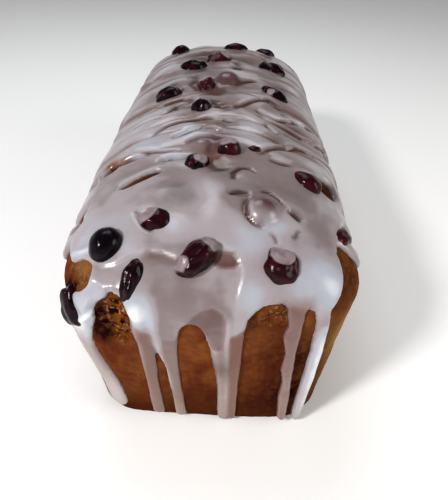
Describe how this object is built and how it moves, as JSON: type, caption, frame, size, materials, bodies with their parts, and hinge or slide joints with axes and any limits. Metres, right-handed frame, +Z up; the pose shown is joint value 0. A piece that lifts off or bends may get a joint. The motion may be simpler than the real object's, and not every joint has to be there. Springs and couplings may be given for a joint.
{
  "type": "loaf cake",
  "caption": "Whole lemon loaf cake with dark cherries and a poured white icing that runs down the end in drips.",
  "frame": {"origin": "centre of the flat base, on the surface the cake stands on", "axes": "+Z up, Y along the loaf with the dripping end at -Y, X across it"},
  "size_m": [0.1166, 0.2823, 0.1049],
  "materials": {
    "crust": "dry browned cake crust with fine pores",
    "icing": "glossy translucent sugar icing",
    "cherry": "wet, very dark red fruit"
  },
  "bodies": {
    "root": {"loaf": "crust", "icing": "icing", "cherry_01": "cherry", "cherry_02": "cherry", "cherry_03": "cherry", "cherry_04": "cherry", "cherry_05": "cherry", "cherry_06": "cherry", "cherry_07": "cherry", "cherry_08": "cherry", "cherry_09": "cherry", "cherry_10": "cherry", "cherry_11": "cherry", "cherry_12": "cherry", "cherry_13": "cherry", "cherry_14": "cherry", "cherry_15": "cherry", "cherry_16": "cherry", "cherry_17": "cherry", "cherry_18": "cherry", "cherry_19": "cherry", "cherry_20": "cherry", "cherry_21": "cherry", "cherry_22": "cherry", "cherry_23": "cherry", "cherry_24": "cherry", "cherry_25": "cherry", "cherry_26": "cherry", "cherry_27": "cherry"}
  },
  "joints": []
}
